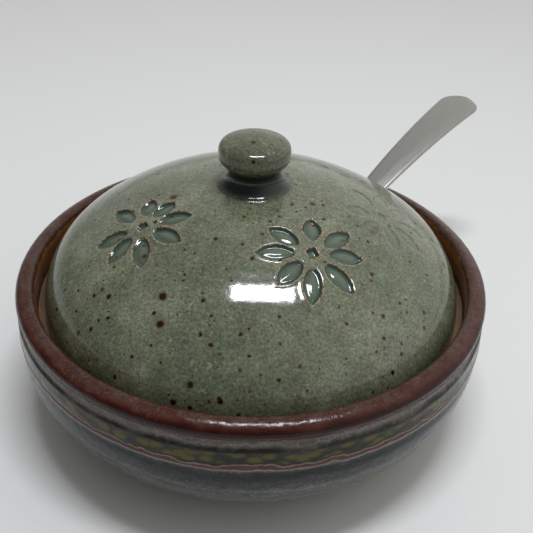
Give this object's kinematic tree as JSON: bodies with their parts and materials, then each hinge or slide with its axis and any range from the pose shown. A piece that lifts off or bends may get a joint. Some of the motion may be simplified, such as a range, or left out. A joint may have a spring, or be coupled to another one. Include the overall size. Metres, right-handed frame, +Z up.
{
  "type": "butter crock",
  "caption": "Round glazed stoneware butter crock with a galleried bowl, a domed knobbed lid notched at its edge, and a curved steel butter spreader that rests in the notch.",
  "frame": {"origin": "on the bowl's axis, at the plane of the foot ring", "axes": "+Z up along the axis of bowl, lid and knob; the spreader leaves between +X and +Y, 41.5 degrees from +Y"},
  "size_m": [0.1666, 0.1773, 0.093],
  "materials": {
    "dark_glaze": "gloss",
    "celadon_glaze": "gloss",
    "knob_glaze": "gloss",
    "spreader_steel": "satin"
  },
  "bodies": {
    "bowl": {"bowl": "dark_glaze"},
    "lid": {"lid": "celadon_glaze", "knob": "knob_glaze"},
    "spreader": {"spreader": "spreader_steel"}
  },
  "joints": [
    {"name": "lid_lift", "type": "slide", "parent": "bowl", "child": "lid", "axis": [0, 0, 1], "range_m": [0, 0.12]},
    {"name": "spreader_draw", "type": "slide", "parent": "bowl", "child": "spreader", "axis": [0.5989, 0.677, 0.4277], "range_m": [0, 0.105]}
  ]
}
